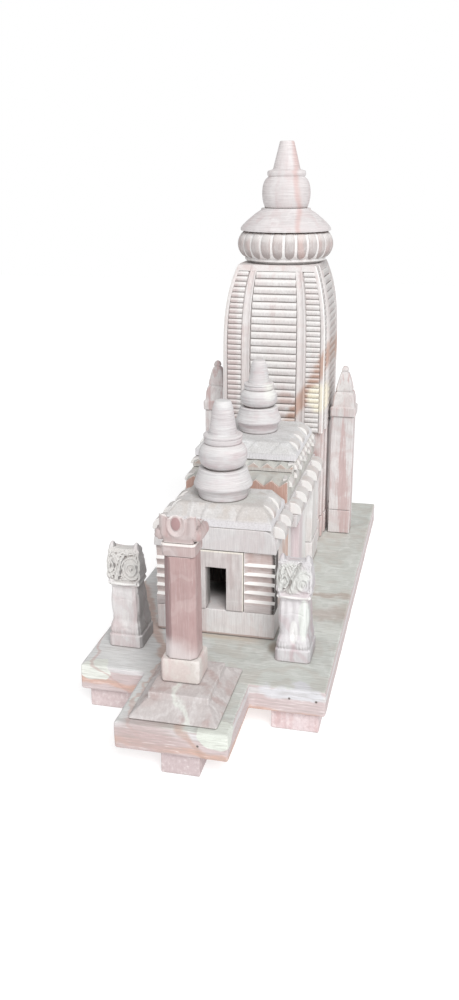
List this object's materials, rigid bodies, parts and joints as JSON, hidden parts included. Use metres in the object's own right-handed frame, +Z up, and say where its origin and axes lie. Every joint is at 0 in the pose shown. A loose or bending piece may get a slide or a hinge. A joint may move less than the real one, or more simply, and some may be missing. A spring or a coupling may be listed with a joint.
{
  "type": "stone temple model",
  "caption": "Tabletop carved-stone temple model: slab on low feet, lotus pillar, seated lions, hollow front hall with open doorway, stepped roofs, banded tower with pot finial, side shrines.",
  "frame": {"origin": "middle of the footprint, on the plane of the feet's soles", "axes": "+Y from the front step to the tower at the back, +X to the right when facing the doorway, +Z up"},
  "size_m": [0.21, 0.54, 0.4654],
  "materials": {
    "pale_stone": "dull carved stone, pale grey white with a pink tint",
    "pink_stone": "dull carved stone, dusty pink",
    "slab_stone": "dull sawn stone, greenish grey with pink edges and brown streaks"
  },
  "bodies": {
    "root": {"base_slab": "slab_stone", "door_jamb_left": "pale_stone", "door_jamb_right": "pale_stone", "door_lintel": "pale_stone", "foot_back_left": "slab_stone", "foot_back_right": "slab_stone", "foot_front_left": "slab_stone", "foot_front_right": "slab_stone", "foot_step": "slab_stone", "front_finial_bell": "pale_stone", "front_finial_pot": "pale_stone", "front_wall_left": "pale_stone", "front_wall_right": "pale_stone", "hall_eave": "pale_stone", "hall_plinth": "pale_stone", "hall_roof": "pale_stone", "hall_wall_back": "pale_stone", "hall_wall_left": "pale_stone", "hall_wall_right": "pale_stone", "lion_left": "pale_stone", "lion_right": "pale_stone", "middle_eave": "pale_stone", "middle_finial_bell": "pale_stone", "middle_finial_pot": "pale_stone", "middle_plinth": "pale_stone", "middle_roof": "pale_stone", "middle_tier_1": "pale_stone", "middle_tier_2": "pale_stone", "middle_walls": "pale_stone", "pillar_base": "pink_stone", "pillar_capital": "pink_stone", "pillar_pedestal": "pink_stone", "pillar_shaft": "pink_stone", "shrine_base_left": "pale_stone", "shrine_base_right": "pale_stone", "shrine_shaft_left": "pale_stone", "shrine_shaft_right": "pale_stone", "shrine_spire_left": "pale_stone", "shrine_spire_right": "pale_stone", "tower_bell": "pale_stone", "tower_cushion": "pale_stone", "tower_plinth": "pale_stone", "tower_pot": "pale_stone", "tower_spire": "pale_stone", "tower_walls": "pale_stone"}
  },
  "joints": []
}
